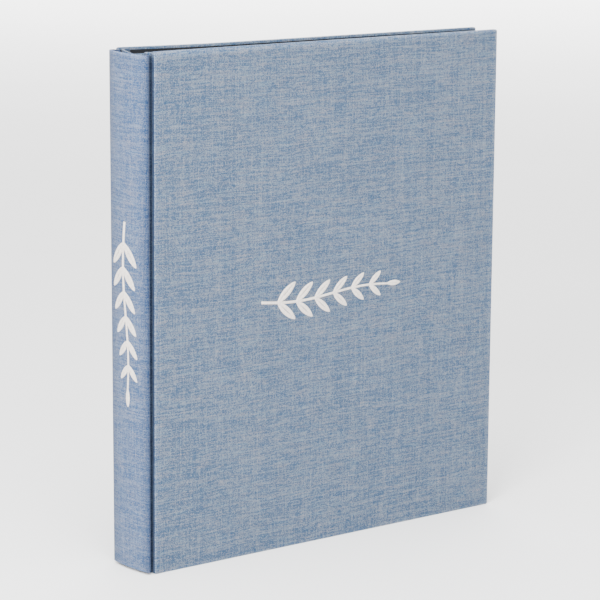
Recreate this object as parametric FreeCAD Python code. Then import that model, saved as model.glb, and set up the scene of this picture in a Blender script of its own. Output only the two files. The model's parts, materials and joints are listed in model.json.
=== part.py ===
"""Hidden-post scrapbook album, standing upright on the lower edges of its covers.

Album axes while drawing, in millimetres: X runs from the spine edge of the covers (0) to the
fore-edge, Y from the front cover's outer face (0) to the back, Z up from the table.
Every solid is moved at the end so that the origin is at the centre of the album's base.
"""

import FreeCAD, Part
import math
import os

os.makedirs("parts", exist_ok=True)

V = FreeCAD.Vector

# Overall size
COVER_HEIGHT = 298.0
COVER_WIDTH = 259.2           # from the back cover's spine edge to both covers' fore-edges
FRONT_START = 1.0             # the front cover's spine edge lies this far in from the back cover's
SPINE_DEPTH = 35.2            # outer face to outer face at the spine edge
FORE_EDGE_DEPTH = 22.0        # outer face to outer face at the fore-edge
CORNER_RADIUS = 1.2

# Cover build-up
CLOTH = 0.4
BOARD = 2.0
ENDPAPER = 0.3
TURN_IN = 15.0
ENDPAPER_INSET = 1.5
COVER_THICKNESS = 2 * CLOTH + BOARD + ENDPAPER

# The back cover runs inwards from the spine edge and then bends to lie along the leaves
BEND_X = 55.0
BEND_DEPTH = 25.5
BEND_RADIUS = 260.0

# Spine cover
SPINE_CARD = 0.6
SPINE_LINING = 0.3
SPINE_BULGE = 6.7             # how far it stands out past the covers' spine edges
SPINE_CORNER = 1.9
SPINE_SETBACK = 0.3           # from each cover's outer face to the spine cover's rounded corner
SPINE_END_GAP = 1.4           # how much shorter it is than the covers, at each end
GROOVE = 1.1                  # gap between the spine cover's hem and the cover's edge
HEM = 4.2
LINING_INSET = 1.0

# Binding
POST_X = 14.0
POST_PITCH = 108.0
POST_COUNT = 3
POST_RADIUS = 2.2
POST_BORE = 1.6
SCREW_RADIUS = 1.5
SCREW_REACH = 10.0
HEAD_RADIUS = 5.0
HEAD_THICKNESS = 1.2
SLOT_WIDTH = 1.0
SLOT_DEPTH = 0.6
PUNCH_RADIUS = 2.5
HEAD_ROOM = 3.0               # space under the front cover for the post heads
STRIP = 2.0
STRIP_START = 3.5
STRIP_END = 27.5
STRIP_INSET = 3.0
STRIP_FLAP_END = 24.0         # how far the hinge cloth is glued along the strip
COVER_FLAP_END = 7.0          # how far it is glued along the cover
CLOTH_END_GAP = 0.4
CLEARANCE = 0.3

# Leaves
LEAF_COUNT = 10
LEAF_THICKNESS = 0.8
STUB_PITCH = 1.35
FORE_PITCH = 1.25
FORE_CENTRE = 10.9            # middle of the leaves at the fore-edge
STUB_START = 2.5
CREASE_X = 34.0               # crease of the outermost leaf on each side
CREASE_STEP = 1.3             # each leaf further in creases a little further out, to clear its neighbour
CREASE_GAP = 1.0              # from the end of a stub to its leaf's crease
LEAF_END = 250.0
LEAF_INSET = 7.0
STUB_GAP = 0.02

# Embroidered sprig
RELIEF = 0.7
SPRIG_LENGTH = 106.0
SPRIG_STALK = 12.0            # bare stem before the first pair of leaves
SPRIG_SAG = 2.0
SPRIG_STEM = 1.5
SPRIG_PAIRS = 6
SPRIG_LEAF = 17.0
SPRIG_LEAF_WIDTH = 6.0
SPRIG_TAPER = 0.4             # how much smaller the last leaves are than the first
SPRIG_ANGLE = 40.0
SPRIG_HEIGHT = COVER_HEIGHT / 2

# Levels that follow from the sizes above
STUB_BASE = COVER_THICKNESS + HEAD_ROOM + STRIP + CLOTH
STUB_TOP = STUB_BASE + LEAF_COUNT * STUB_PITCH
SPINE_MIDDLE = SPINE_DEPTH / 2
ORIGIN = V((COVER_WIDTH - SPINE_BULGE - RELIEF) / 2, (SPINE_DEPTH - RELIEF) / 2, 0)


def save(name, shapes):
    """Write one node, as one solid or as several separate ones."""
    solids = [shape.copy() for shape in shapes]
    for solid in solids:
        solid.translate(-ORIGIN)
    whole = solids[0] if len(solids) == 1 else Part.makeCompound(solids)
    whole.exportStep("parts/" + name + ".step")


def line(start, end):
    return Part.LineSegment(V(*start, 0), V(*end, 0)).toShape()


def arc(start, middle, end):
    return Part.Arc(V(*start, 0), V(*middle, 0), V(*end, 0)).toShape()


def block(x0, x1, y0, y1, z0, z1):
    return Part.makeBox(x1 - x0, y1 - y0, z1 - z0, V(x0, y0, z0))


def upright(edges, z0, z1):
    """A closed outline in plan, raised from z0 to z1."""
    face = Part.Face(Part.Wire(Part.__sortEdges__(edges)))
    solid = face.extrude(V(0, 0, z1 - z0))
    solid.translate(V(0, 0, z0))
    return solid


def rod(radius, x, z, y0, y1):
    """A round rod that runs from front to back."""
    return Part.makeCylinder(radius, y1 - y0, V(x, y0, z), V(0, 1, 0))


# Covers ---------------------------------------------------------------------------------------

def front_layer(outer, inner, inset):
    """Plan outline of the front cover between two depths below its outer face."""
    start, end = FRONT_START + inset, COVER_WIDTH - inset
    corners = [(start, outer), (end, outer), (end, inner), (start, inner)]
    return [line(a, b) for a, b in zip(corners, corners[1:] + corners[:1])]


def unit(start, end):
    dx, dy = end[0] - start[0], end[1] - start[1]
    length = math.hypot(dx, dy)
    return dx / length, dy / length


def along(point, direction, distance):
    return point[0] + direction[0] * distance, point[1] + direction[1] * distance


def back_curve(depth, inset):
    """Points of the back cover's line at a depth below its outer face, from spine to fore-edge."""
    spine, bend, fore = (0, SPINE_DEPTH), (BEND_X, BEND_DEPTH), (COVER_WIDTH, FORE_EDGE_DEPTH)
    first, second = unit(spine, bend), unit(bend, fore)
    first_in, second_in = (first[1], -first[0]), (second[1], -second[0])
    turn = math.acos(first[0] * second[0] + first[1] * second[1])
    reach = BEND_RADIUS * math.tan(turn / 2)
    leave, join = along(bend, first, -reach), along(bend, second, reach)
    centre = along(leave, first_in, -BEND_RADIUS)
    return [
        along(along(spine, first, inset), first_in, depth),
        along(leave, first_in, depth),
        along(centre, unit(centre, bend), BEND_RADIUS + depth),
        along(join, second_in, depth),
        along(along(fore, second, -inset), second_in, depth),
    ]


def back_layer(outer, inner, inset):
    """Plan outline of the back cover between two depths below its outer face."""
    a = back_curve(outer, inset)
    b = back_curve(inner, inset)
    return [
        line(a[0], a[1]), arc(*a[1:4]), line(a[3], a[4]), line(a[4], b[4]),
        line(b[4], b[3]), arc(b[3], b[2], b[1]), line(b[1], b[0]), line(b[0], a[0]),
    ]


def slab(layer, outer, inner, inset):
    return upright(layer(outer, inner, inset), inset, COVER_HEIGHT - inset)


def rounded(solid, thickness, radius):
    """Round the four corners of a panel, on the short edges that cross its thickness."""
    corners = [edge for edge in solid.Edges if edge.Length < thickness + CLEARANCE]
    return solid.makeFillet(radius, corners)


def make_cover(side, layer):
    inside = CLOTH + BOARD
    skin = inside + CLOTH
    board = rounded(slab(layer, CLOTH, inside, CLOTH), BOARD, CORNER_RADIUS - CLOTH)
    infill = slab(layer, inside, skin, TURN_IN)
    cloth = rounded(slab(layer, 0, skin, 0), skin, CORNER_RADIUS).cut(board).cut(infill)
    sheet = slab(layer, skin, COVER_THICKNESS, ENDPAPER_INSET)
    save(side + "_cover_board", [board])
    save(side + "_cover_cloth", [cloth])
    save(side + "_endpaper", [sheet.fuse(infill).removeSplitter()])


# Spine cover ----------------------------------------------------------------------------------

def spine_curve(depth):
    """Points of the spine cover's C-shaped line at a depth below its outer face, front to back."""
    corner = (-GROOVE - SPINE_CORNER, SPINE_SETBACK + SPINE_CORNER)
    half = SPINE_MIDDLE - corner[1]
    lead = SPINE_BULGE + corner[0]
    # The large arc touches both corner arcs from outside and stands out by SPINE_BULGE
    radius = (half ** 2 + lead ** 2 - SPINE_CORNER ** 2) / (2 * (lead - SPINE_CORNER))
    centre = (radius - SPINE_BULGE, SPINE_MIDDLE)
    outward = unit(centre, corner)
    middle = math.atan2(outward[1], outward[0]) / 2
    small = SPINE_CORNER - depth
    front = [
        (corner[0] + small, corner[1] + HEM),
        (corner[0] + small, corner[1]),
        (corner[0] + small * math.cos(middle), corner[1] + small * math.sin(middle)),
        along(corner, outward, small),
    ]
    back = [(x, SPINE_DEPTH - y) for x, y in reversed(front)]
    return front + [(depth - SPINE_BULGE, SPINE_MIDDLE)] + back


def spine_edges(points):
    return [
        line(points[0], points[1]), arc(*points[1:4]), arc(*points[3:6]),
        arc(*points[5:8]), line(points[7], points[8]),
    ]


def spine_band(outer, inner, end_gap):
    a = spine_curve(outer)
    b = spine_curve(inner)
    edges = spine_edges(a) + spine_edges(b) + [line(a[0], b[0]), line(a[-1], b[-1])]
    return upright(edges, end_gap, COVER_HEIGHT - end_gap)


def make_spine():
    card_depth = CLOTH + SPINE_CARD
    card = spine_band(CLOTH, card_depth, SPINE_END_GAP + CLOTH)
    cloth = spine_band(0, card_depth, SPINE_END_GAP).cut(card)
    lining = spine_band(card_depth, card_depth + SPINE_LINING, SPINE_END_GAP + LINING_INSET)
    save("spine_card", [card])
    save("spine_cloth", [cloth])
    save("spine_lining", [lining])


# Binding --------------------------------------------------------------------------------------

def post_heights():
    first = COVER_HEIGHT / 2 - POST_PITCH * (POST_COUNT - 1) / 2
    return [first + POST_PITCH * i for i in range(POST_COUNT)]


def punched(solid):
    for z in post_heights():
        solid = solid.cut(rod(PUNCH_RADIUS, POST_X, z, 0, SPINE_DEPTH))
    return solid


def make_strip(side, y0):
    strip = block(STRIP_START, STRIP_END, y0, y0 + STRIP, STRIP_INSET, COVER_HEIGHT - STRIP_INSET)
    save(side + "_hinge_strip", [punched(strip)])


def make_hinge_cloth(side, cover_y, strip_y):
    """A cloth loop, from the cover's inner face round to the inner face of the hinge strip.

    Where it lies on the strip it is trimmed level with the strip's ends."""
    radius = abs(strip_y - cover_y) / 2
    step = math.copysign(CLOTH, strip_y - cover_y)
    centre = (radius - GROOVE, (strip_y + cover_y) / 2)
    near = [(COVER_FLAP_END, cover_y), (centre[0], cover_y)]
    far = [(centre[0], strip_y), (STRIP_FLAP_END, strip_y)]
    near_in = [(COVER_FLAP_END, cover_y + step), (centre[0], cover_y + step)]
    far_in = [(centre[0], strip_y - step), (STRIP_FLAP_END, strip_y - step)]
    edges = [
        line(*near), arc(near[1], (-GROOVE, centre[1]), far[0]), line(*far), line(far[1], far_in[1]),
        line(*far_in), arc(far_in[0], (CLOTH - GROOVE, centre[1]), near_in[1]), line(*near_in),
        line(near_in[0], near[0]),
    ]
    cloth = punched(upright(edges, CLOTH_END_GAP, COVER_HEIGHT - CLOTH_END_GAP))
    low_y, high_y = sorted((strip_y - 2 * step, strip_y + step))
    for z in (0, COVER_HEIGHT - STRIP_INSET):
        cloth = cloth.cut(block(STRIP_START, STRIP_FLAP_END, low_y, high_y, z, z + STRIP_INSET))
    save(side + "_hinge_cloth", [cloth])


def make_fasteners(front_y, back_y):
    """Barrels with flat heads at the front and screws with slotted flat heads at the back."""
    posts = []
    screws = []
    cap_y = back_y + HEAD_THICKNESS
    for z in post_heights():
        barrel = rod(POST_RADIUS, POST_X, z, front_y, back_y)
        head = rod(HEAD_RADIUS, POST_X, z, front_y - HEAD_THICKNESS, front_y)
        bore = rod(POST_BORE, POST_X, z, back_y - SCREW_REACH - HEAD_THICKNESS, back_y)
        shank = rod(SCREW_RADIUS, POST_X, z, back_y - SCREW_REACH, back_y)
        cap = rod(HEAD_RADIUS, POST_X, z, back_y, cap_y)
        low, high = z - SLOT_WIDTH / 2, z + SLOT_WIDTH / 2
        slot = block(POST_X - HEAD_RADIUS, POST_X + HEAD_RADIUS, cap_y - SLOT_DEPTH, cap_y, low, high)
        posts.append(barrel.fuse(head).cut(bore).removeSplitter())
        screws.append(shank.fuse(cap).cut(slot).removeSplitter())
    save("binding_posts", posts)
    save("post_screws", screws)


def make_binding():
    front_strip_y = COVER_THICKNESS + HEAD_ROOM
    back_strip_y = STUB_TOP + CLOTH
    back_inner = back_curve(COVER_THICKNESS, COVER_FLAP_END)[0]
    make_strip("front", front_strip_y)
    make_strip("back", back_strip_y)
    make_hinge_cloth("front", COVER_THICKNESS + CLEARANCE, STUB_BASE)
    make_hinge_cloth("back", back_inner[1] - CLEARANCE, STUB_TOP)
    make_fasteners(front_strip_y, back_strip_y + STRIP)


# Leaves ---------------------------------------------------------------------------------------

def make_leaf(number):
    """A punched stub, and the leaf beyond its crease, which leans towards the covers' middle."""
    place = number - (LEAF_COUNT + 1) / 2
    stub_y = (STUB_BASE + STUB_TOP) / 2 + place * STUB_PITCH
    fore_y = FORE_CENTRE + place * FORE_PITCH
    half_stub = STUB_PITCH / 2 - STUB_GAP
    low, high = LEAF_INSET, COVER_HEIGHT - LEAF_INSET
    crease = CREASE_X + min(number - 1, LEAF_COUNT - number) * CREASE_STEP
    stub = block(STUB_START, crease - CREASE_GAP, stub_y - half_stub, stub_y + half_stub, low, high)
    span = LEAF_END - crease
    length = math.hypot(span, fore_y - stub_y)
    half = LEAF_THICKNESS / 2
    leaf = block(crease, crease + length, stub_y - half, stub_y + half, low, high)
    lean = math.degrees(math.atan2(fore_y - stub_y, span))
    leaf.rotate(V(crease, stub_y, 0), V(0, 0, 1), lean)
    save("leaf_stub_%02d" % number, [punched(stub)])
    save("leaf_%02d" % number, [leaf])


# Embroidery -----------------------------------------------------------------------------------

def stem_height(u):
    return SPRIG_SAG * math.sin(2 * math.pi * u / SPRIG_LENGTH)


def lens(u, size, angle, depth):
    """A pointed leaf shape in the XZ plane that starts on the stem at u, raised towards -Y."""
    length, half = SPRIG_LEAF * size, SPRIG_LEAF_WIDTH * size / 2
    start, tip = V(0, 0, 0), V(length, 0, 0)
    upper = Part.Arc(start, V(length / 2, 0, half), tip).toShape()
    lower = Part.Arc(tip, V(length / 2, 0, -half), start).toShape()
    solid = Part.Face(Part.Wire([upper, lower])).extrude(V(0, -depth, 0))
    solid.rotate(start, V(0, 1, 0), -angle)
    solid.translate(V(u, 0, stem_height(u)))
    return solid


def stem(start, end, depth):
    """A narrow curved strip in the XZ plane, raised towards -Y."""
    count = 2 * SPRIG_PAIRS
    stations = [start + (end - start) * i / count for i in range(count + 1)]
    sides = []
    for half in (SPRIG_STEM / 2, -SPRIG_STEM / 2):
        curve = Part.BSplineCurve()
        curve.interpolate([V(u, 0, stem_height(u) + half) for u in stations])
        sides.append(curve.toShape())
    for u in (start, end):
        corners = [V(u, 0, stem_height(u) + half) for half in (SPRIG_STEM / 2, -SPRIG_STEM / 2)]
        sides.append(Part.LineSegment(*corners).toShape())
    return Part.Face(Part.Wire(Part.__sortEdges__(sides))).extrude(V(0, -depth, 0))


def sprig(depth):
    """A leafy sprig about the origin in the XZ plane, with paired leaves and a last leaf at its tip."""
    smallest = 1 - SPRIG_TAPER
    first = SPRIG_STALK - SPRIG_LENGTH / 2
    last = SPRIG_LENGTH / 2 - SPRIG_LEAF * smallest
    overlap = SPRIG_STEM
    shape = stem(-SPRIG_LENGTH / 2, last + overlap, depth).fuse(lens(last, smallest, 0, depth))
    for i in range(SPRIG_PAIRS):
        u = first + (last - first) * i / SPRIG_PAIRS
        size = 1 - SPRIG_TAPER * i / SPRIG_PAIRS
        for angle in (SPRIG_ANGLE, -SPRIG_ANGLE):
            shape = shape.fuse(lens(u, size, angle, depth))
    return shape.removeSplitter()


def make_embroidery():
    front = sprig(RELIEF)
    front.translate(V((FRONT_START + COVER_WIDTH) / 2, 0, SPRIG_HEIGHT))
    save("front_embroidery", [front])
    # On the spine the sprig runs downwards and follows the curved surface
    deep = sprig(2 * SPINE_BULGE)
    deep.rotate(V(0, 0, 0), V(0, 1, 0), 90)
    deep.rotate(V(0, 0, 0), V(0, 0, 1), -90)
    deep.translate(V(-GROOVE - SPINE_CORNER, SPINE_MIDDLE, SPRIG_HEIGHT))
    save("spine_embroidery", [deep.common(spine_band(-RELIEF, 0, SPINE_END_GAP))])


make_cover("front", front_layer)
make_cover("back", back_layer)
make_spine()
make_binding()
for leaf_number in range(1, LEAF_COUNT + 1):
    make_leaf(leaf_number)
make_embroidery()
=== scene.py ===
import json
import math

import bmesh
import bpy
from mathutils import Matrix, Vector


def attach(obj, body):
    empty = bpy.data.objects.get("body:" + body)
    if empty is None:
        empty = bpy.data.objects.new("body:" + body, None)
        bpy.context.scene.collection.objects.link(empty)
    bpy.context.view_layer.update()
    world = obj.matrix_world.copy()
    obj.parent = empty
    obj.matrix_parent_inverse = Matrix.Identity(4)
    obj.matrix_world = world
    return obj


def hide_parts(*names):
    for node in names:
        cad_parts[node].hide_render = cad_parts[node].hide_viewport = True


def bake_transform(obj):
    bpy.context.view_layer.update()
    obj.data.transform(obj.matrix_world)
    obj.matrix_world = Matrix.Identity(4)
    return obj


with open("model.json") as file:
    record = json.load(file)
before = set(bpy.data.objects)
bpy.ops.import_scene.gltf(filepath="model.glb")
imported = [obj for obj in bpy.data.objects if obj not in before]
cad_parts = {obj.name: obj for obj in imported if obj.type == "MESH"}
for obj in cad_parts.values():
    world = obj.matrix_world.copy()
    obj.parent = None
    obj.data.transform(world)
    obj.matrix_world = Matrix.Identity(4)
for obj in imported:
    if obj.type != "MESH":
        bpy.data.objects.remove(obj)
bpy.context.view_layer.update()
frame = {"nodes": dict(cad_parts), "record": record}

# Lengths are millimetres in the album's own axes until metres() turns them into the row frame:
# X from the covers' spine edge to the fore-edge, Y from the front cover's face to the back, Z up.
MM = 0.001
ORIGIN = Vector((125.9, 17.25, 0.0))

COVER_WIDTH = 259.2           # from the back cover's spine edge to the fore-edges
FRONT_START = 1.0
COVER_HEIGHT = 298.0
SPINE_DEPTH = 35.2
FORE_EDGE_DEPTH = 22.0
CLOTH = 0.4
COVER_SKIN = 2.8              # cloth, board and turned-in cloth
COVER_THICKNESS = 3.1
TURN_IN = 15.0
COVER_EDGE = 0.6              # radius over the covers' edges
CORNER_RADIUS = 1.2
BEND_X = 55.0                 # the back cover bends here, and flares towards the spine
BEND_DEPTH = 25.5
BEND_RADIUS = 260.0

SPINE_BULGE = 6.7
SPINE_CORNER = 1.9
SPINE_SETBACK = 0.3
SPINE_END_GAP = 1.4
SPINE_SKIN = 1.3
SPINE_LEAN = 1.6              # how far the spine's middle leans out at the top and in at the foot
SPINE_SHIFT = 0.4             # how far in it stands as a whole
SPINE_RISE = 0.9              # how much higher its back edge stands than its front one, at the top
SPINE_EDGE = 0.45
SPINE_CORNER_CUT = 0.9
SPINE_TURN_IN = 4.0
GROOVE = 1.1
HEM = 4.2
LINING_INSET = 1.0
CORE_INSET = 0.8

STUB_BASE = 8.5
STUB_PITCH = 1.35
STUB_TOP = 22.0
COVER_FLAP_END = 7.0
STRIP_FLAP_END = 24.0
CLOTH_END_GAP = 0.4
STRIP_INSET = 3.0
CLEARANCE = 0.3
HINGE_SKIN = 0.82             # two layers of cloth
HINGE_EDGE = 0.4
HINGE_CORNER = 0.8
HINGE_TURN_IN = 2.2

LEAF_COUNT = 10
LEAF_THICKNESS = 0.8
CREASE_X = 34.0
CREASE_STEP = 1.3
LEAF_END = 250.0
LEAF_INSET = 7.0
LEAF_CORNER = 2.0
LEAF_START = 1.4              # how far before its crease a leaf starts, inside its stub
LEAF_BEND = 1.0               # half the width of the bend at the crease
LEAF_BOW = 0.14
LEAF_EASE = 0.12              # how much its edges are eased
FORE_PITCH = 1.25
FORE_CENTRE = 10.9

# Distances between a mesh's vertices, along the plan line and up
COVER_STEP = 5.0
SPINE_STEP, SPINE_BEND_STEP = 0.8, 0.7
HINGE_STEP, HINGE_BEND_STEP = 2.0, 0.5
ROW_STEP = 6.0


def metres(x, y, z):
    return (Vector((x, y, z)) - ORIGIN) * MM


def clamp(value, low, high):
    """value, kept between low and high, or at low where high lies below it."""
    return min(max(value, low), max(low, high))


# Plan lines -----------------------------------------------------------------------------------

class Plan:
    """A line in plan, of straight runs and arcs, measured along its outer side.

    side is +1 where the inner side lies to the right of travel, and -1 where it lies to the left."""

    def __init__(self, side, parts):
        self.side = side
        self.parts = parts
        self.lengths = [self.part_length(p) for p in parts]
        self.length = sum(self.lengths)

    @staticmethod
    def part_length(part):
        if part[0] == "run":
            return (Vector(part[2]) - Vector(part[1])).length
        return abs(math.radians(part[4] - part[3])) * part[2]

    def at(self, s, depth=0.0):
        """The point a distance s along the line and a depth inside it."""
        index = 0
        while index < len(self.parts) - 1 and s > self.lengths[index]:
            s -= self.lengths[index]
            index += 1
        part = self.parts[index]
        if part[0] == "run":
            start, end = Vector(part[1]), Vector(part[2])
            way = (end - start).normalized()
            point = start + way * s
        else:
            turn = math.copysign(1.0, part[4] - part[3])
            angle = math.radians(part[3]) + turn * s / part[2]
            point = Vector(part[1]) + Vector((math.cos(angle), math.sin(angle))) * part[2]
            way = Vector((-math.sin(angle), math.cos(angle))) * turn
        return point + Vector((way.y, -way.x)) * (self.side * depth)

    def stations(self, step, bend_step, inset):
        """Distances along the line, closer together on its arcs and more than inset from its ends."""
        places = []
        start = 0.0
        for part, length in zip(self.parts, self.lengths):
            count = max(1, round(length / (step if part[0] == "run" else bend_step)))
            places += [start + length * i / count for i in range(count)]
            start += length
        return [s for s in places if inset < s < self.length - inset]


def run(start, end):
    return ("run", start, end)


def arc(centre, radius, start, end):
    return ("arc", centre, radius, start, end)


front_plan = Plan(-1, [run((FRONT_START, 0), (COVER_WIDTH, 0))])


def make_back_plan():
    """The back cover's outer face, which bends near the spine."""
    spine, bend = Vector((0, SPINE_DEPTH)), Vector((BEND_X, BEND_DEPTH))
    fore = Vector((COVER_WIDTH, FORE_EDGE_DEPTH))
    first, second = (bend - spine).normalized(), (fore - bend).normalized()
    reach = BEND_RADIUS * math.tan(first.angle(second) / 2)
    leave, join = bend - first * reach, bend + second * reach
    centre = leave + Vector((-first.y, first.x)) * BEND_RADIUS
    start, end = (math.degrees(math.atan2(*(p - centre).yx)) for p in (leave, join))
    return Plan(1, [run(spine, leave), arc(centre, BEND_RADIUS, start, end), run(join, fore)])


def make_spine_plan():
    """The spine cover's outer face: a hem, a rounded corner, the bulge, and the same again."""
    corner = Vector((-GROOVE - SPINE_CORNER, SPINE_SETBACK + SPINE_CORNER))
    middle = SPINE_DEPTH / 2
    half, lead = middle - corner.y, SPINE_BULGE + corner.x
    radius = (half ** 2 + lead ** 2 - SPINE_CORNER ** 2) / (2 * (lead - SPINE_CORNER))
    centre = Vector((radius - SPINE_BULGE, middle))
    tilt = math.degrees(math.atan2(half, centre.x - corner.x))
    far = Vector((corner.x, SPINE_DEPTH - corner.y))
    edge = -GROOVE
    return Plan(1, [
        run((edge, corner.y + HEM), (edge, corner.y)),
        arc(corner, SPINE_CORNER, 0, tilt - 180),
        arc(centre, radius, 180 + tilt, 180 - tilt),
        arc(far, SPINE_CORNER, 180 - tilt, 0),
        run((edge, far.y), (edge, far.y - HEM)),
    ])


def make_hinge_plan(cover_plan, strip_y, side):
    """A loop of cloth from a cover's inner face, round the groove, to the strip's inner face."""
    corner = cover_plan.at(0)
    inward = cover_plan.at(0, 1) - corner
    rest = COVER_THICKNESS + CLEARANCE
    clear = rest + inward.x * GROOVE - inward.y * (strip_y - corner.y)
    radius = clear / (inward.x + inward.y * side - 1)
    centre = Vector((radius - GROOVE, strip_y + side * radius))
    touch = centre - inward * radius
    start = math.degrees(math.atan2(-inward.y, -inward.x))
    flap = cover_plan.at(COVER_FLAP_END - corner.x, rest)
    return Plan(-side, [
        run(flap, touch),
        arc(centre, radius, start, side * 270),
        run((centre.x, strip_y), (STRIP_FLAP_END, strip_y)),
    ])


back_plan = make_back_plan()
spine_plan = make_spine_plan()
front_hinge_plan = make_hinge_plan(front_plan, STUB_BASE, -1)
back_hinge_plan = make_hinge_plan(back_plan, STUB_TOP, 1)


def upright(plan):
    """Places (distance along the plan, depth, height) in the row frame."""
    def place(s, depth, z):
        point = plan.at(s, depth)
        return metres(point.x, point.y, z)
    return place


def leaning_spine(s, depth, z):
    """Places on the spine cover, whose middle leans out at the top and in at the foot."""
    point = spine_plan.at(s, depth)
    share = clamp((-GROOVE - point.x) / (SPINE_BULGE - GROOVE), 0, 1)
    up = z / COVER_HEIGHT
    lean = SPINE_LEAN * (2 * up - 1) - SPINE_SHIFT
    rise = SPINE_RISE * (point.y / SPINE_DEPTH - 0.5) * up
    return metres(point.x - lean * share, point.y, z + rise)


def trimmed_hinge(plan):
    """Places on a hinge cloth, which is trimmed level with the strip's ends where it lies on the strip."""
    start, span = plan.lengths[0] + plan.lengths[1] / 2, plan.lengths[1] / 2
    middle = COVER_HEIGHT / 2
    shorten = (STRIP_INSET - CLOTH_END_GAP) / (middle - CLOTH_END_GAP)

    def place(s, depth, z):
        point = plan.at(s, depth)
        trim = shorten * clamp((s - start) / span, 0, 1)
        return metres(point.x, point.y, z - (z - middle) * trim)
    return place


# Materials ------------------------------------------------------------------------------------

BY_SHEET, BY_PLACE = 2, 3     # the outputs UV and Object of a Texture Coordinate node


class Nodes:
    """A material's node tree, written as expressions."""

    def __init__(self, name):
        self.material = bpy.data.materials.new(name)
        self.material.use_nodes = True
        self.tree = self.material.node_tree
        self.tree.nodes.clear()

    def add(self, kind, inputs, out=0, **settings):
        made = self.tree.nodes.new("ShaderNode" + kind)
        for key, value in settings.items():
            setattr(made, key, value)
        for key, value in inputs.items():
            if isinstance(value, bpy.types.NodeSocket):
                self.tree.links.new(value, made.inputs[key])
            else:
                made.inputs[key].default_value = value
        return made.outputs[out]

    def math(self, operation, a, b=0.0):
        return self.add("Math", {0: a, 1: b}, operation=operation)

    def scale(self, vector, by):
        return self.add("VectorMath", {0: vector, 1: by}, operation="MULTIPLY")

    def millimetres(self, output):
        """Texture coordinates in millimetres, along the sheet or in the piece's place."""
        return self.scale(self.add("TexCoord", {}, out=output), (1000.0,) * 3)

    def attribute(self, name):
        return self.add("Attribute", {}, out=2, attribute_name=name)

    def noise(self, vector, size, detail=2.0, out=0):
        return self.add("TexNoise", {"Vector": vector, "Scale": size, "Detail": detail}, out=out)

    def ramp(self, value, low, high, start=0.0, end=1.0):
        """A number that goes from low to high as value goes from start to end."""
        return self.add("MapRange", {0: value, 1: start, 2: end, 3: low, 4: high})

    def mix(self, factor, a, b, blend="MIX"):
        return self.add("Mix", {0: factor, 6: a, 7: b}, out=2, data_type="RGBA", blend_type=blend)

    def bump(self, height, distance, strength=1.0, normal=None):
        inputs = {"Height": height, "Distance": distance, "Strength": strength}
        if normal is not None:
            inputs["Normal"] = normal
        return self.add("Bump", inputs)

    def finish(self, **inputs):
        shader = self.add("BsdfPrincipled", {key.replace("_", " "): value for key, value in inputs.items()})
        output = self.tree.nodes.new("ShaderNodeOutputMaterial")
        self.tree.links.new(shader, output.inputs["Surface"])
        return self.material


def linear(r, g, b):
    """An sRGB colour of 0 to 255 as a linear one."""
    parts = [c / 255 for c in (r, g, b)]
    return tuple(c / 12.92 if c <= 0.04045 else ((c + 0.055) / 1.055) ** 2.4 for c in parts) + (1.0,)


WARP_PITCH = 0.50             # from one upright thread to the next
WEFT_PITCH = 0.41
WANDER = 3.0                  # how far the threads drift
OWN_DYE = 0.16                # how much one thread is paler or darker than the next
LONG_SLUB, SHORT_SLUB, HUE_SLUB = 0.018, 0.08, 0.035      # per thread's width along the thread
THREAD_STRIDE = 0.737         # from one thread to the next in the noise, so that none repeats another
THREAD_RELIEF, FUZZ_RELIEF = 0.00014, 0.00006             # in metres, as all reliefs
# the navy that painted shade in the grooves multiplies the cloth by
PAINTED_SHADE_TINT = (0.07, 0.15, 0.27, 1.0)


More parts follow.
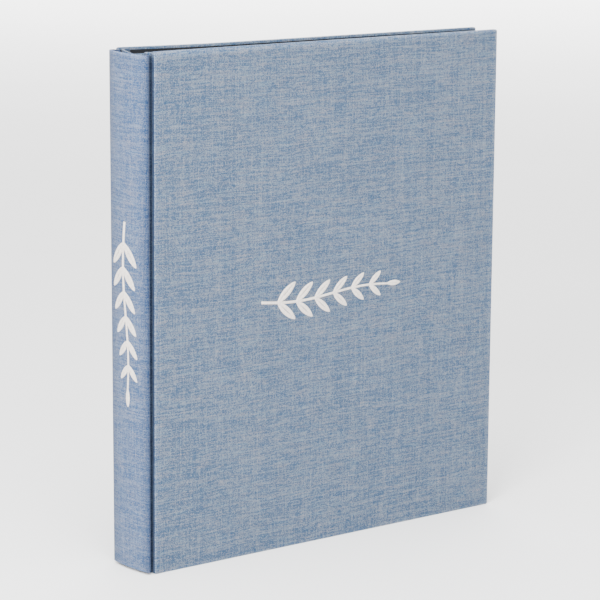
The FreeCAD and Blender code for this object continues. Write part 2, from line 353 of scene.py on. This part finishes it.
def book_cloth(name, dark, blue, pink):
    """Melange linen: every thread mixes dark blue fibres with pale blue and pale pink ones, in slubs."""
    n = Nodes(name)
    mm = n.millimetres(BY_SHEET)
    drift = n.add("VectorMath", {0: n.noise(mm, 0.025, out=1), 1: (0.5,) * 3}, operation="SUBTRACT")
    wander = n.add("VectorMath", {0: mm, 1: n.scale(drift, (WANDER,) * 3)}, operation="ADD")
    threads = n.scale(wander, (1 / WARP_PITCH, 1 / WEFT_PITCH, 1.0))
    across = n.add("SeparateXYZ", {0: threads})
    up = across.node.outputs[1]
    warp_index, weft_index = n.math("FLOOR", across), n.math("FLOOR", up)
    warp_part = n.math("SUBTRACT", n.math("FRACT", across), 0.5)
    weft_part = n.math("SUBTRACT", n.math("FRACT", up), 0.5)
    over = n.math("FLOORED_MODULO", n.math("ADD", warp_index, weft_index), 2.0)
    crossing = n.add("CombineXYZ", {0: warp_index, 1: weft_index})
    fibres = n.add("TexWhiteNoise", {"Vector": crossing}, noise_dimensions="2D")

    def slubs(index, along, stretch, seed, amount):
        """Thick and thin places along each thread, every thread with its own."""
        along, index = n.math("MULTIPLY", along, stretch), n.math("MULTIPLY", index, THREAD_STRIDE)
        place = n.add("CombineXYZ", {0: along, 1: index})
        moved = n.add("VectorMath", {0: place, 1: (seed,) * 3}, operation="ADD")
        return n.ramp(n.noise(moved, 1.0), -amount, amount, 0.3, 0.7)

    def tone(index, along, seed, amount, fibre_low, fibre_high):
        """How pale a thread is: its own dye, long and short slubs along it, and its fibres."""
        own = n.add("TexWhiteNoise", {"W": n.math("ADD", index, seed)}, noise_dimensions="1D")
        long_slubs = slubs(index, along, LONG_SLUB, seed, amount)
        thick = n.math("ADD", long_slubs, slubs(index, along, SHORT_SLUB, 2 * seed, amount))
        both = n.math("ADD", n.ramp(own, -OWN_DYE, OWN_DYE), thick)
        return n.ramp(n.math("ADD", both, n.ramp(fibres, fibre_low, fibre_high)), 0.0, 1.0)

    hue = n.ramp(slubs(weft_index, across, HUE_SLUB, 13.1, 0.5), 0.0, 1.0, -0.4, 0.4)
    pale = n.mix(hue, blue, pink)
    warp = n.mix(tone(warp_index, up, 7.3, 0.24, -0.12, 0.70), dark, pale)
    weft = n.mix(tone(weft_index, across, 31.7, 0.46, 0.02, 0.82), dark, pale)
    colour = n.mix(over, weft, warp)
    cloud = n.ramp(n.noise(mm, 0.03, 3.0), 0.97, 1.03, 0.3, 0.7)
    wear_and_highlight, painted_shade = n.attribute("wear_and_highlight"), n.attribute("painted_shade")
    # wear and painted highlight: the cloth is paler on its edges and along the covers' tops, besides the
    # random cloud
    light_share = n.math("MULTIPLY", cloud, n.ramp(wear_and_highlight, 1.0, 1.8, 0.0, 2.0))
    round_warp = n.math("COSINE", n.math("MULTIPLY", warp_part, math.pi))
    round_weft = n.math("COSINE", n.math("MULTIPLY", weft_part, math.pi))
    warp_height = n.math("MULTIPLY", round_warp, n.ramp(round_weft, 0.45, 1.0))
    weft_height = n.math("MULTIPLY", round_weft, n.ramp(round_warp, 0.45, 1.0))
    height = n.add("Mix", {0: over, 2: weft_height, 3: warp_height}, data_type="FLOAT")
    fuzz = n.noise(mm, 5.0)
    # painted shade: each thread is darker where it dips under its neighbours and paler on its crown,
    # besides the bump
    shaded = n.math("MULTIPLY", light_share, n.ramp(height, 0.80, 1.10))
    grey_light = n.add("CombineColor", {0: shaded, 1: shaded, 2: shaded})
    lit = n.mix(1.0, colour, grey_light, "MULTIPLY")
    # painted shade: the cloth turns dark navy where its vertices say it lies in the grooves' shade
    lit = n.mix(painted_shade, lit, n.mix(1.0, lit, PAINTED_SHADE_TINT, "MULTIPLY"))
    normal = n.bump(height, THREAD_RELIEF, 0.9, n.bump(fuzz, FUZZ_RELIEF))
    return n.finish(Base_Color=lit, Roughness=n.ramp(fuzz, 0.82, 0.98), Normal=normal, Sheen_Weight=0.08,
                    Sheen_Roughness=0.45, Specular_IOR_Level=0.2)


STITCH_PITCH = 0.34
STITCH_SLANT = 0.55


def satin_thread(name, colour, shade):
    """Close satin stitches that lie across each stroke."""
    n = Nodes(name)
    mm = n.millimetres(BY_SHEET)
    along = n.add("SeparateXYZ", {0: mm})
    across = along.node.outputs[1]
    along, across = n.math("MULTIPLY", along, 1 / STITCH_PITCH), n.math("MULTIPLY", across, STITCH_SLANT)
    slant = n.math("ADD", along, across)
    index = n.math("FLOOR", slant)
    part = n.math("SUBTRACT", n.math("FRACT", slant), 0.5)
    height = n.math("COSINE", n.math("MULTIPLY", part, math.pi))
    own = n.add("TexWhiteNoise", {"W": index}, noise_dimensions="1D")
    fibre = n.noise(n.scale(mm, (6.0, 0.8, 1.0)), 1.0)
    share = n.math("ADD", n.math("MULTIPLY", own, 0.5), fibre)
    colour = n.mix(n.ramp(share, 0.0, 1.0, 0.3, 1.2), shade, colour)
    normal = n.bump(height, 0.00012, 0.8, n.bump(fibre, 0.00004))
    return n.finish(Base_Color=colour, Roughness=n.ramp(fibre, 0.42, 0.62), Normal=normal, Sheen_Weight=0.4,
                    Sheen_Roughness=0.35, Specular_IOR_Level=0.45)


def card(name, pale, dark, relief, rough, speckle=0.0):
    """Uncoated card or paper: fibres, mottling and, for recycled board, specks."""
    n = Nodes(name)
    mm = n.millimetres(BY_PLACE)
    mottle = n.noise(mm, 0.12, 4.0)
    fibre = n.noise(n.scale(mm, (1.6, 1.6, 0.5)), 1.4, 5.0)
    speck = n.add("TexVoronoi", {"Vector": mm, "Scale": 0.9})
    mixed = n.math("ADD", n.math("MULTIPLY", mottle, 0.45), n.math("MULTIPLY", fibre, 0.55))
    colour = n.mix(n.ramp(mixed, 0.0, 1.0, 0.3, 0.7), dark, pale)
    colour = n.mix(n.ramp(speck, speckle, 0.0, 0.0, 0.16), colour, dark)
    return n.finish(Base_Color=colour, Roughness=n.ramp(fibre, rough - 0.08, rough + 0.08),
                    Normal=n.bump(fibre, relief), Specular_IOR_Level=0.15)


def nickel(name):
    """Satin nickel plate with fine turning marks round each post."""
    n = Nodes(name)
    mm = n.millimetres(BY_PLACE)
    mark = n.noise(n.scale(mm, (1.0, 14.0, 1.0)), 1.2, 4.0)
    scuff = n.noise(mm, 0.7, 5.0)
    colour = n.mix(n.ramp(scuff, 0.0, 1.0, 0.35, 0.7), (0.50, 0.49, 0.47, 1), (0.66, 0.65, 0.62, 1))
    return n.finish(Base_Color=colour, Metallic=1.0, Roughness=n.ramp(mark, 0.24, 0.42),
                    Normal=n.bump(mark, 0.00002))


cover_material = book_cloth("melange_book_cloth", (0.018, 0.053, 0.116, 1), (0.150, 0.202, 0.254, 1),
                            (0.212, 0.203, 0.220, 1))
# painted light: a bluer copy of the covers' cloth, tinted for the light that falls on the spine
spine_tinted_material = book_cloth("melange_cloth_tinted_for_spine_light", (0.016, 0.056, 0.144, 1), (0.150, 0.206, 0.298, 1),
                            (0.214, 0.210, 0.258, 1))
hinge_material = book_cloth("melange_hinge_cloth", (0.016, 0.050, 0.112, 1), (0.148, 0.194, 0.240, 1),
                            (0.210, 0.196, 0.210, 1))
thread_material = satin_thread("off_white_thread", linear(238, 229, 220), linear(196, 187, 179))
GREY, DARK_GREY = (0.36, 0.33, 0.29, 1), (0.22, 0.20, 0.17, 1)
IVORY, DARK_IVORY = (0.80, 0.76, 0.68, 1), (0.70, 0.66, 0.58, 1)
materials = {
    "cover_board": card("grey_board", GREY, DARK_GREY, 0.00012, 0.85, 0.7),
    "spine_card": card("grey_card", GREY, DARK_GREY, 0.0001, 0.85, 0.5),
    "hinge_strip": card("black_strip_board", (0.014, 0.015, 0.018, 1), (0.006, 0.0065, 0.008, 1),
                        0.0001, 0.85),
    "lining_paper": card("black_lining_paper", (0.013, 0.014, 0.017, 1), (0.005, 0.0055, 0.007, 1),
                         0.00008, 0.85),
    "leaf_stub": card("stub_card", (0.70, 0.65, 0.56, 1), (0.58, 0.53, 0.45, 1), 0.0001, 0.8),
    "leaf_card": card("ivory_card", IVORY, DARK_IVORY, 0.00008, 0.78),
    "post_metal": nickel("nickel_plate"),
}
slot_of = {part["node"]: part["material_slot"] for part in frame["record"]["subparts"]}
for node_name, cad_node in frame["nodes"].items():
    if slot_of[node_name] in materials:
        for material_slot in cad_node.material_slots:
            material_slot.material = materials[slot_of[node_name]]


# Wrapped sheets -------------------------------------------------------------------------------

def to_object(bm, name, material):
    mesh = bpy.data.meshes.new(name)
    bm.to_mesh(mesh)
    bm.free()
    mesh.materials.append(material)
    for polygon in mesh.polygons:
        polygon.use_smooth = True
    made = bpy.data.objects.new(name, mesh)
    bpy.context.scene.collection.objects.link(made)
    return made


def thicken(obj, thickness, offset):
    solid = obj.modifiers.new("thickness", "SOLIDIFY")
    solid.thickness = thickness * MM
    solid.offset = offset
    solid.use_even_offset = True
    return obj


def face_out(bm, outward):
    """Turn the faces so that the first one looks along outward."""
    bmesh.ops.recalc_face_normals(bm, faces=bm.faces)
    bm.faces.ensure_lookup_table()
    bm.normal_update()
    if bm.faces[0].normal.dot(outward) < 0:
        bmesh.ops.reverse_faces(bm, faces=bm.faces)


def rounded(ds, dz):
    """A step into the square at a corner, drawn in so that the square's outline becomes an arc."""
    reach = math.hypot(ds, dz)
    if reach > 0:
        fit = max(abs(ds), abs(dz)) / reach
        ds, dz = ds * fit, dz * fit
    return ds, dz


STATION_GAP = 0.3             # the least distance from a corner to the next column
CLOSE_ROWS = (1.0, 2.5)       # extra rows beyond each corner, for what changes fast near the ends
WEAR_AND_HIGHLIGHT_REACH = 1.2               # how far the wear and painted highlight of the edges reach into the face
FACE_WEAR_AND_HIGHLIGHT = 0.6
FLAP_SHARES = (0.06, 0.2, 0.5, 1.0)


def wrap(name, material, plan, place, low, high, skin, edge, corner, turn_in, step, bend_step, painted_shade,
         ripple=None, top_wear_and_highlight=None):
    """Cloth pulled over a panel: its face, rounded edges, and flaps turned in on the other side.

    The panel runs the length of the plan and from low to high. skin is how far the flaps lie behind the
    face, edge the radius over each edge, and corner that of the panel's corners. The function after
    bend_step says how dark painted shade makes the cloth at a place, and the last one how pale wear and a
    painted highlight make it."""
    length, height = plan.length, high - low
    lead = [edge + (corner - edge) * i / 3 for i in range(4)]
    columns = lead + plan.stations(step, bend_step, corner + STATION_GAP)
    columns += [length - s for s in reversed(lead)]
    count = round((height - 2 * corner) / ROW_STEP)
    lead += [corner + further for further in CLOSE_ROWS]
    rows = lead + [corner + (height - 2 * corner) * i / count for i in range(1, count)]
    rows += [height - z for z in reversed(lead)]

    bm = bmesh.new()
    uv_layer = bm.loops.layers.uv.new("weave")
    wear_and_highlight_layer = bm.verts.layers.float.new("wear_and_highlight")
    painted_shade_layer = bm.verts.layers.float.new("painted_shade")
    flat = {}

    def vertex(s, z, depth, uv, wear_and_highlight):
        made = bm.verts.new(place(s, depth, low + z))
        made[wear_and_highlight_layer] = wear_and_highlight
        made[painted_shade_layer] = painted_shade(s, low + z, depth)
        flat[made] = (uv[0] * MM, uv[1] * MM)
        return made

    grid, plane = {}, {}
    for i, s in enumerate(columns):
        for j, z in enumerate(rows):
            cs, cz = clamp(s, corner, length - corner), clamp(z, corner, height - corner)
            ds, dz = rounded(s - cs, z - cz)
            point = (cs + ds, cz + dz)
            depth = -ripple(*point) if ripple else 0.0
            near = min(point[0], point[1], length - point[0], height - point[1]) - edge
            top_paleness = top_wear_and_highlight(point[0], low + point[1]) if top_wear_and_highlight else 0.0
            edge_wear_and_highlight = clamp(1 - near / WEAR_AND_HIGHLIGHT_REACH, 0, 1) * FACE_WEAR_AND_HIGHLIGHT
            grid[i, j] = vertex(*point, depth, point, max(top_paleness, edge_wear_and_highlight))
            plane[i, j] = point
    last, top = len(columns) - 1, len(rows) - 1
    for i in range(last):
        for j in range(top):
            bm.faces.new((grid[i, j], grid[i + 1, j], grid[i + 1, j + 1], grid[i, j + 1]))

    # The way over the edge, down the side, over the next edge and along the flap, as rows of how far in
    # from the outline, how deep, how far from the face's last vertex, and how much wear and painted
    # highlight.
    quarter = [math.pi / 2 * k / 4 for k in range(1, 5)]
    profile = [(edge * (1 - math.sin(a)), edge * (1 - math.cos(a)), edge * a, 1.0) for a in quarter]
    reached = edge * math.pi / 2 + (skin - 2 * edge)
    profile += [(edge * (1 - math.cos(a)), skin - edge * (1 - math.sin(a)), reached + edge * a, 1.0 - a / 2)
                for a in [0.0] + quarter]
    reached += edge * math.pi / 2
    flap = turn_in - edge
    profile += [(edge + flap * share, skin, reached + flap * share, 0.0) for share in FLAP_SHARES]

    loop = [(i, 0) for i in range(last)] + [(last, j) for j in range(top)]
    loop += [(i, top) for i in range(last, 0, -1)] + [(0, j) for j in range(top, 0, -1)]
    ring = [grid[key] for key in loop]
    for inset, depth, travelled, wear_and_highlight in profile:
        following = []
        for key in loop:
            s, z = plane[key]
            centre = Vector((clamp(s, corner, length - corner), clamp(z, corner, height - corner)))
            way = (Vector((s, z)) - centre).normalized()
            if inset < corner:
                point = centre + way * (corner - inset)
            else:
                point = Vector((clamp(s, inset, length - inset), clamp(z, inset, height - inset)))
            uv = (s + way.x * travelled, z + way.y * travelled)
            top_paleness = max(1.0, top_wear_and_highlight(s, low + z)) if top_wear_and_highlight else 1.0
            following.append(vertex(point.x, point.y, depth, uv, wear_and_highlight * top_paleness))
        for k in range(len(loop)):
            m = (k + 1) % len(loop)
            bm.faces.new((ring[k], ring[m], following[m], following[k]))
        ring = following
    for face in bm.faces:
        for corner_loop in face.loops:
            corner_loop[uv_layer].uv = flat[corner_loop.vert]
    bmesh.ops.dissolve_degenerate(bm, dist=1e-6, edges=bm.edges)
    face_out(bm, place(edge, -1.0, low + edge) - place(edge, 0.0, low + edge))
    return thicken(to_object(bm, name, material), CLOTH, -1.0)


RIPPLE_HEIGHT = 0.05
RIPPLE_SINK = 0.03            # how far the face sinks between its edges
RIPPLE_MARGIN = 8.0           # how far from the edges the ripple is whole
# wear and painted highlight along the covers' top edges
TOP_WEAR_AND_HIGHLIGHT = 1.4
TOP_WEAR_AND_HIGHLIGHT_REACH, TOP_WEAR_AND_HIGHLIGHT_NARROWING = 3.6, 2.3                     # down from the top, and less at the fore-edge
# painted shade on the covers' sides in the grooves
SIDE_SHADE_START, SIDE_SHADE_FADE = 0.2, 0.25               # in depth, behind the covers' faces
SIDE_SHADE_WIDTH = 1.5
# painted shade on the spine cover near the grooves, and on its back where it turns away from the light
FRONT_SHADE_WHOLE, FRONT_SHADE_REACH = 5.5, HEM + 8.3       # on the spine, from its front end
FRONT_SHADE_WIDENING, FRONT_SHADE_DOWN = 3.5, 100.0
BACK_SHADE_REACH, BACK_SHADE_FADE = HEM + 6.3, 5.0          # on the spine, from its back end
BACK_TURNING_SHADE, BACK_TURNING_SHADE_REACH, BACK_TURNING_SHADE_FADE = 0.36, 18.0, 8.6
# painted shade on the hinge cloths
HINGE_SHADE = 0.85


def cover_ripple(phase, length):
    """A slight unevenness of a cover's face, which leaves its edges straight."""
    def ripple(s, z):
        wave = math.sin(s / 21 + phase) * math.sin(z / 27 + 2 * phase)
        wave += 0.6 * math.sin(s / 9.5 + z / 13 + phase)
        edge = clamp(min(s, z, length - s, COVER_HEIGHT - z) / RIPPLE_MARGIN, 0, 1)
        return RIPPLE_HEIGHT * wave * edge - RIPPLE_SINK * edge
    return ripple


def cover_top_wear_and_highlight(s, z):
    """Wear and painted highlight: the covers' top edges, where light from above falls, are paler, and
    further down towards the spine.
    """
    reach = TOP_WEAR_AND_HIGHLIGHT_REACH - TOP_WEAR_AND_HIGHLIGHT_NARROWING * s / COVER_WIDTH
    return TOP_WEAR_AND_HIGHLIGHT * clamp(1 - (COVER_HEIGHT - COVER_EDGE - z) / reach, 0, 1)


def below_top(z):
    """0 down to 1 mm below the covers' top, and 1 from 3 mm down."""
    return clamp((COVER_HEIGHT - z - 1) / 2, 0, 1)


def cover_groove_shade(s, z, depth):
    """Painted shade: the covers' sides are darkened inside the grooves, except at the very top."""
    behind = clamp((depth - SIDE_SHADE_START) / SIDE_SHADE_FADE, 0, 1)
    return behind * clamp(2 - s / SIDE_SHADE_WIDTH, 0, 1) * below_top(z)


def spine_painted_shade(s, z, depth):
    """Painted shade: the spine cover is darkened on its hems and rounded corners in the grooves, less so
    further round, and lightly where its back turns away from the light.
    """
    left = spine_plan.length - s
    turning_shade = BACK_TURNING_SHADE * clamp((BACK_TURNING_SHADE_REACH - left) / BACK_TURNING_SHADE_FADE, 0, 1)
    back = clamp((BACK_SHADE_REACH - left) / BACK_SHADE_FADE, 0, 1) ** 1.4
    reach = FRONT_SHADE_REACH + FRONT_SHADE_WIDENING * clamp((COVER_HEIGHT - z) / FRONT_SHADE_DOWN, 0, 1)
    return max(turning_shade, back, clamp((reach - s) / (reach - FRONT_SHADE_WHOLE), 0, 1) ** 2)


def hinge_painted_shade(s, z, depth):
    """Painted shade: the hinge cloths are darkened all over in the grooves, except at the very top."""
    return HINGE_SHADE * below_top(z)


covers = {"front": front_plan, "back": back_plan}
for number, (side_name, cover_plan) in enumerate(covers.items()):
    cloth = wrap(side_name + "_book_cloth", cover_material, cover_plan, upright(cover_plan), 0.0,
                 COVER_HEIGHT, COVER_SKIN, COVER_EDGE, CORNER_RADIUS, TURN_IN, COVER_STEP, COVER_STEP,
                 cover_groove_shade, cover_ripple(1.0 + 2.0 * number, cover_plan.length), cover_top_wear_and_highlight)
    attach(cloth, side_name + "_cover")
    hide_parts(side_name + "_cover_cloth")

spine_low, spine_high = SPINE_END_GAP, COVER_HEIGHT - SPINE_END_GAP
spine_cloth = wrap("spine_book_cloth", spine_tinted_material, spine_plan, leaning_spine, spine_low, spine_high,
                   SPINE_SKIN, SPINE_EDGE, SPINE_CORNER_CUT, SPINE_TURN_IN, SPINE_STEP, SPINE_BEND_STEP,
                   spine_painted_shade)
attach(spine_cloth, "binding")
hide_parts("spine_cloth")


BAND_ROWS = 48


def band(name, material, outer, inner, inset):
    """A curved layer inside the spine cover, from the depth outer to the depth inner."""
    low, high = spine_low + inset, spine_high - inset
    columns = [inset] + spine_plan.stations(SPINE_STEP, SPINE_BEND_STEP, inset + STATION_GAP)
    columns.append(spine_plan.length - inset)
    rows = [low + (high - low) * j / BAND_ROWS for j in range(BAND_ROWS + 1)]
    bm = bmesh.new()
    grid = [[bm.verts.new(leaning_spine(s, inner, z)) for z in rows] for s in columns]
    for left, right in zip(grid, grid[1:]):
        for j in range(len(rows) - 1):
            bm.faces.new((left[j], right[j], right[j + 1], left[j + 1]))
    face_out(bm, leaning_spine(inset, 1.0, low) - leaning_spine(inset, 0.0, low))
    made = thicken(to_object(bm, name, material), inner - outer, -1.0)
    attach(made, "binding")
    return made


GLUE_GAP = 0.02
spine_core = band("spine_card_core", materials["spine_card"], CLOTH + GLUE_GAP,
                  SPINE_SKIN - CLOTH - GLUE_GAP, CORE_INSET)
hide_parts("spine_card")
spine_paper = band("spine_lining_paper", materials["lining_paper"], SPINE_SKIN - 0.1, SPINE_SKIN + 0.12,
                   LINING_INSET)
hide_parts("spine_lining")

ends = (CLOTH_END_GAP, COVER_HEIGHT - CLOTH_END_GAP)
for side_name, hinge_plan in (("front", front_hinge_plan), ("back", back_hinge_plan)):
    cloth = wrap(side_name + "_hinge_book_cloth", hinge_material, hinge_plan, trimmed_hinge(hinge_plan),
                 *ends, HINGE_SKIN, HINGE_EDGE, HINGE_CORNER, HINGE_TURN_IN, HINGE_STEP, HINGE_BEND_STEP,
                 hinge_painted_shade)
    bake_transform(cloth)
    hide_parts(side_name + "_hinge_cloth")


# Leaves ---------------------------------------------------------------------------------------

def make_leaf(number):
    """A card leaf that starts inside its stub's end, bends at the crease and bows very slightly."""
    place = number - (LEAF_COUNT + 1) / 2
    stub_y = (STUB_BASE + STUB_TOP) / 2 + place * STUB_PITCH
    fore_y = FORE_CENTRE + place * FORE_PITCH
    crease = CREASE_X + min(number - 1, LEAF_COUNT - number) * CREASE_STEP
    low, high, radius = LEAF_INSET, COVER_HEIGHT - LEAF_INSET, LEAF_CORNER
    slope = (fore_y - stub_y) / (LEAF_END - crease)
    columns = [crease - LEAF_START, crease - 1.2]
    columns += [crease - LEAF_BEND + LEAF_BEND / 8 * i for i in range(17)]
    flat_part = LEAF_END - radius - crease - LEAF_BEND
    columns += [crease + LEAF_BEND + flat_part * i / 30 for i in range(1, 31)]
    columns += [LEAF_END - radius * (1 - i / 4) for i in range(1, 5)]
    rows = [low + radius * i / 4 for i in range(4)]
    rows += [low + radius + (high - low - 2 * radius) * j / 30 for j in range(31)]
    rows += [high - radius * (1 - i / 4) for i in range(1, 5)]
    bm = bmesh.new()
    uv_layer = bm.loops.layers.uv.new("sheet")
    grid = []
    for x in columns:
        line = []
        for z in rows:
            cx, cz = min(x, LEAF_END - radius), clamp(z, low + radius, high - radius)
            dx, dz = rounded(x - cx, z - cz)
            px, pz = cx + dx, cz + dz
            bow = LEAF_BOW * math.sin(px / 34 + number * 1.7) * math.sin(pz / 47 + number * 2.3)
            bow *= clamp((px - crease - 2) / 30, 0, 1)
            line.append(bm.verts.new(metres(px, stub_y + slope * max(0.0, px - crease) + bow, pz)))
        grid.append(line)
    for left, right in zip(grid, grid[1:]):
        for j in range(len(rows) - 1):
            face = bm.faces.new((left[j], right[j], right[j + 1], left[j + 1]))
            for corner_loop in face.loops:
                corner_loop[uv_layer].uv = (corner_loop.vert.co.x, corner_loop.vert.co.z)
    made = thicken(to_object(bm, "card_leaf_%02d" % number, leaf_material), LEAF_THICKNESS, 0.0)
    soften = made.modifiers.new("worn_edges", "BEVEL")
    soften.width = LEAF_EASE * MM
    soften.segments = 2
    soften.limit_method = "ANGLE"
    body = "leaf_%02d" % number
    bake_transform(made)
    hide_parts(body)


def paper_by_sheet(name):
    """Ivory card whose fibres stay with the sheet as it bends."""
    n = Nodes(name)
    mm = n.millimetres(BY_SHEET)
    mottle = n.noise(mm, 0.09, 4.0)
    fibre = n.noise(n.scale(mm, (0.6, 1.8, 1.0)), 1.2, 5.0)
    mixed = n.math("ADD", n.math("MULTIPLY", mottle, 0.5), n.math("MULTIPLY", fibre, 0.5))
    colour = n.mix(n.ramp(mixed, 0.0, 1.0, 0.3, 0.7), DARK_IVORY, IVORY)
    return n.finish(Base_Color=colour, Roughness=n.ramp(fibre, 0.7, 0.86), Normal=n.bump(fibre, 0.00006),
                    Specular_IOR_Level=0.3)


leaf_material = paper_by_sheet("ivory_leaf_card")
for leaf_number in range(1, LEAF_COUNT + 1):
    make_leaf(leaf_number)


# Embroidery -----------------------------------------------------------------------------------

SPRIG_LENGTH = 106.0
SPRIG_STALK = 12.0
SPRIG_SAG = 2.0
SPRIG_PAIRS = 6
SPRIG_LEAF = 17.0
SPRIG_TAPER = 0.4
SPRIG_ANGLE = 40.0
STEM_WIDTH, STEM_NARROWING = 1.7, 0.5
STEM_END = 1.5                # how far the stem runs into the last leaf
STEM_RINGS, LEAF_RINGS = 60, 20
LEAF_SPREAD = 1.35            # from a leaf's middle line to the middle of each of its two strokes
LEAF_TIP, LEAF_BELLY = 0.5, 1.9                           # a stroke's width at its ends, and added between
STROKE_HEIGHT = 0.62
STROKE_EMBED = 0.25           # how far the strokes' edges lie in the cloth
STROKE_SEGMENTS = 10


def stem_height(u):
    """The stem's slight S-shape."""
    return SPRIG_SAG * math.sin(2 * math.pi * u / SPRIG_LENGTH)


def stroke(bm, uv_layer, place, centre, width, count):
    """A padded satin stroke: a rounded ridge along centre(t), width(t) wide, on a surface."""
    rings = []
    travelled = 0.0
    before = None
    for i in range(count + 1):
        t = i / count
        here = Vector(centre(t))
        way = (Vector(centre(min(1.0, t + 0.01))) - Vector(centre(max(0.0, t - 0.01)))).normalized()
        across = Vector((-way.y, way.x))
        half = width(t) / 2
        travelled += (here - before).length if before else 0.0
        before = here
        ring = []
        for k in range(STROKE_SEGMENTS + 1):
            angle = math.pi * k / STROKE_SEGMENTS
            offset = -math.cos(angle) * half
            rise = math.sin(angle) ** 0.8 * min(STROKE_HEIGHT, half * 0.9)
            spot = here + across * offset
            vert = bm.verts.new(place(spot.x, spot.y, rise if 0 < k < STROKE_SEGMENTS else -STROKE_EMBED))
            ring.append((vert, (travelled * MM, offset * MM)))
        rings.append(ring)
    for a, b in zip(rings, rings[1:]):
        for k in range(STROKE_SEGMENTS):
            corners = (a[k], b[k], b[k + 1], a[k + 1])
            face = bm.faces.new([vert for vert, _ in corners])
            for corner_loop, (_, uv) in zip(face.loops, corners):
                corner_loop[uv_layer].uv = uv
    for ring in (rings[0], rings[-1]):
        face = bm.faces.new([vert for vert, _ in ring])
        for corner_loop, (_, uv) in zip(face.loops, ring):
            corner_loop[uv_layer].uv = uv
    for a, b in zip(rings, rings[1:]):
        face = bm.faces.new((a[0][0], a[-1][0], b[-1][0], b[0][0]))
        for corner_loop in face.loops:
            corner_loop[uv_layer].uv = a[0][1]


def make_sprig(name, place, body, node_name):
    """A stem with pairs of leaves and one at its end, each leaf of two strokes side by side."""
    bm = bmesh.new()
    uv_layer = bm.loops.layers.uv.new("stitches")
    smallest = 1 - SPRIG_TAPER
    first, last = SPRIG_STALK - SPRIG_LENGTH / 2, SPRIG_LENGTH / 2 - SPRIG_LEAF * smallest

    def stem_line(t):
        u = -SPRIG_LENGTH / 2 + (last + STEM_END + SPRIG_LENGTH / 2) * t
        return u, stem_height(u)

    stroke(bm, uv_layer, place, stem_line, lambda t: STEM_WIDTH - STEM_NARROWING * t, STEM_RINGS)
    leaves = [(last, smallest, 0.0)]
    for i in range(SPRIG_PAIRS):
        u, size = first + (last - first) * i / SPRIG_PAIRS, 1 - SPRIG_TAPER * i / SPRIG_PAIRS
        leaves += [(u, size, SPRIG_ANGLE), (u, size, -SPRIG_ANGLE)]
    for u, size, angle in leaves:
        turn = Matrix.Rotation(math.radians(angle), 2)
        base = Vector((u, stem_height(u)))
        for hand in (1, -1):
            def half_leaf(t):
                spread = LEAF_SPREAD * size * math.sin(math.pi * t) ** 0.8
                return base + turn @ Vector((SPRIG_LEAF * size * t, hand * spread))

            def half_width(t):
                return LEAF_TIP + LEAF_BELLY * size * math.sin(math.pi * t) ** 0.7

            stroke(bm, uv_layer, place, half_leaf, half_width, LEAF_RINGS)
    bmesh.ops.recalc_face_normals(bm, faces=bm.faces)
    made = to_object(bm, name, thread_material)
    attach(made, body)
    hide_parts(node_name)


def on_front(u, v, height):
    return metres((FRONT_START + COVER_WIDTH) / 2 + u, -height, COVER_HEIGHT / 2 + v)


def on_spine(u, v, height):
    return leaning_spine(spine_plan.length / 2 - v, -height, COVER_HEIGHT / 2 - u)


make_sprig("front_sprig", on_front, "front_cover", "front_embroidery")
make_sprig("spine_sprig", on_spine, "binding", "spine_embroidery")


# Floor, light and camera ----------------------------------------------------------------------

FLOOR_RADIUS = 14.0
WORLD_STRENGTH = 0.95
LIGHTS = {                    # place, target, size and power
    "key": ((-1.1, -0.75, 0.7), (-0.05, 0.0, 0.15), 0.5, 42.0),
    "fill": ((-0.7, -1.7, 1.3), (0.0, 0.0, 0.15), 0.9, 24.0),
    "top": ((-0.6, -0.5, 2.2), (0.0, 0.0, 0.1), 1.6, 90.0),
    "backdrop": ((4.0, 4.5, 3.5), (4.5, 5.0, 0.0), 5.0, 1300.0),
}
CAMERA_PLACE = Vector((-1.00797, -1.22903, 0.44046))
CAMERA_TARGET = Vector((-0.02006, -0.01725, 0.14750))
CAMERA_ROLL = math.radians(0.479)
CAMERA_LENS = 163.45


def make_floor():
    bm = bmesh.new()
    bmesh.ops.create_circle(bm, cap_ends=True, segments=96, radius=FLOOR_RADIUS)
    n = Nodes("pale_floor")
    mottle = n.noise(n.add("TexCoord", {}, out=BY_PLACE), 3.0, 3.0)
    colour = n.mix(n.ramp(mottle, 0.0, 1.0, 0.3, 0.7), (0.88, 0.88, 0.88, 1), (0.90, 0.90, 0.90, 1))
    material = n.finish(Base_Color=colour, Roughness=0.9, Specular_IOR_Level=0.1)
    floor = to_object(bm, "floor", material)


def make_light(name, place, target, size, power):
    """A white square light."""
    data = bpy.data.lights.new(name, "AREA")
    data.shape = "SQUARE"
    data.size = size
    data.energy = power
    light = bpy.data.objects.new(name, data)
    light.location = place
    light.rotation_mode = "QUATERNION"
    light.rotation_quaternion = (Vector(target) - Vector(place)).to_track_quat("-Z", "Y")
    bpy.context.scene.collection.objects.link(light)


def make_world(strength):
    world = bpy.data.worlds.new("studio")
    world.use_nodes = True
    background = world.node_tree.nodes["Background"]
    background.inputs["Color"].default_value = (1.0, 1.0, 1.0, 1.0)
    background.inputs["Strength"].default_value = strength
    bpy.context.scene.world = world


def make_camera():
    data = bpy.data.cameras.new("camera")
    data.sensor_width = 36.0
    data.lens = CAMERA_LENS
    camera = bpy.data.objects.new("camera", data)
    ahead = (CAMERA_TARGET - CAMERA_PLACE).normalized()
    right = ahead.cross(Vector((0, 0, 1))).normalized()
    up = right.cross(ahead)
    rolled_right = right * math.cos(CAMERA_ROLL) + up * math.sin(CAMERA_ROLL)
    rolled_up = up * math.cos(CAMERA_ROLL) - right * math.sin(CAMERA_ROLL)
    turn = Matrix((rolled_right, rolled_up, -ahead)).transposed()
    camera.matrix_world = Matrix.Translation(CAMERA_PLACE) @ turn.to_4x4()
    bpy.context.scene.collection.objects.link(camera)
    bpy.context.scene.camera = camera


make_floor()
make_world(WORLD_STRENGTH)
for light_name, light_settings in LIGHTS.items():
    make_light(light_name, *light_settings)
make_camera()

bpy.context.view_layer.update()
